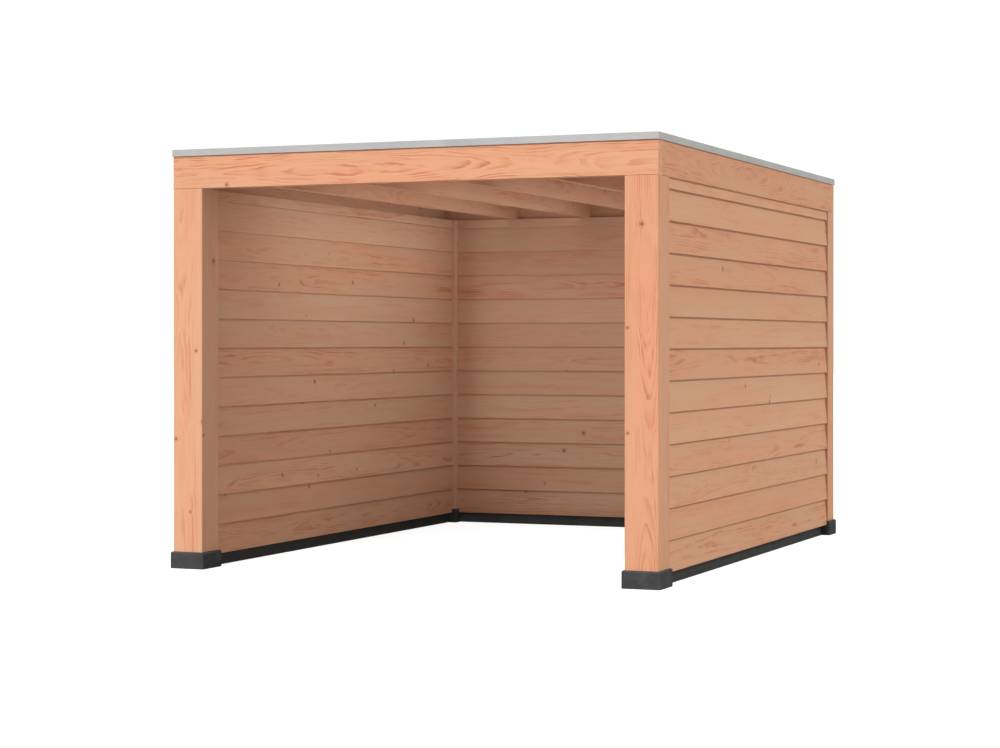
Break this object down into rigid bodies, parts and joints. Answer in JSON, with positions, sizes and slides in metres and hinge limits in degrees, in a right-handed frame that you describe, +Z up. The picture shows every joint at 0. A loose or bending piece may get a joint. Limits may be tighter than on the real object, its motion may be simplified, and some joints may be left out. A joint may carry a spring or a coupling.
{
  "type": "wooden garden canopy",
  "caption": "Timber garden canopy, open at the front, with square posts on dark feet, walls of overlapping bevelled boards inside and out, beams, rafters and a flat metal-edged roof.",
  "frame": {"origin": "on the ground, under the middle of the box over the feet", "axes": "+X to the right seen from the open front, +Y from the open front to the rear wall, +Z up"},
  "size_m": [3.08, 3.91, 2.5],
  "materials": {
    "post_wood": "planed softwood, unpainted",
    "beam_wood": "planed softwood, unpainted",
    "board_wood": "planed softwood, unpainted",
    "frame_wood": "sawn softwood",
    "deck_wood": "sawn softwood sheet",
    "foot_concrete": "anthracite concrete, smooth cast",
    "sill": "matt dark recycled plastic",
    "trim_metal": "satin, light grey",
    "membrane": "matt dark rubber sheet"
  },
  "bodies": {
    "root": {"foot_front_left": "foot_concrete", "foot_front_right": "foot_concrete", "foot_rear_left": "foot_concrete", "foot_rear_right": "foot_concrete", "post_front_left": "post_wood", "post_front_right": "post_wood", "post_rear_left": "post_wood", "post_rear_right": "post_wood", "sill_left": "sill", "sill_right": "sill", "sill_rear": "sill", "wall_frame_left": "frame_wood", "wall_frame_right": "frame_wood", "wall_frame_rear": "frame_wood", "outer_boards_left": "board_wood", "outer_boards_right": "board_wood", "outer_boards_rear": "board_wood", "inner_boards_left": "board_wood", "inner_boards_right": "board_wood", "inner_boards_rear": "board_wood", "beam_front": "beam_wood", "beam_rear": "beam_wood", "beam_left": "beam_wood", "beam_right": "beam_wood", "rafter_1": "beam_wood", "rafter_2": "beam_wood", "rafter_3": "beam_wood", "rafter_4": "beam_wood", "roof_deck": "deck_wood", "batten_front": "frame_wood", "batten_rear": "frame_wood", "batten_left": "frame_wood", "batten_right": "frame_wood", "roof_membrane": "membrane", "trim_front": "trim_metal", "trim_rear": "trim_metal", "trim_left": "trim_metal", "trim_right": "trim_metal"}
  },
  "joints": []
}
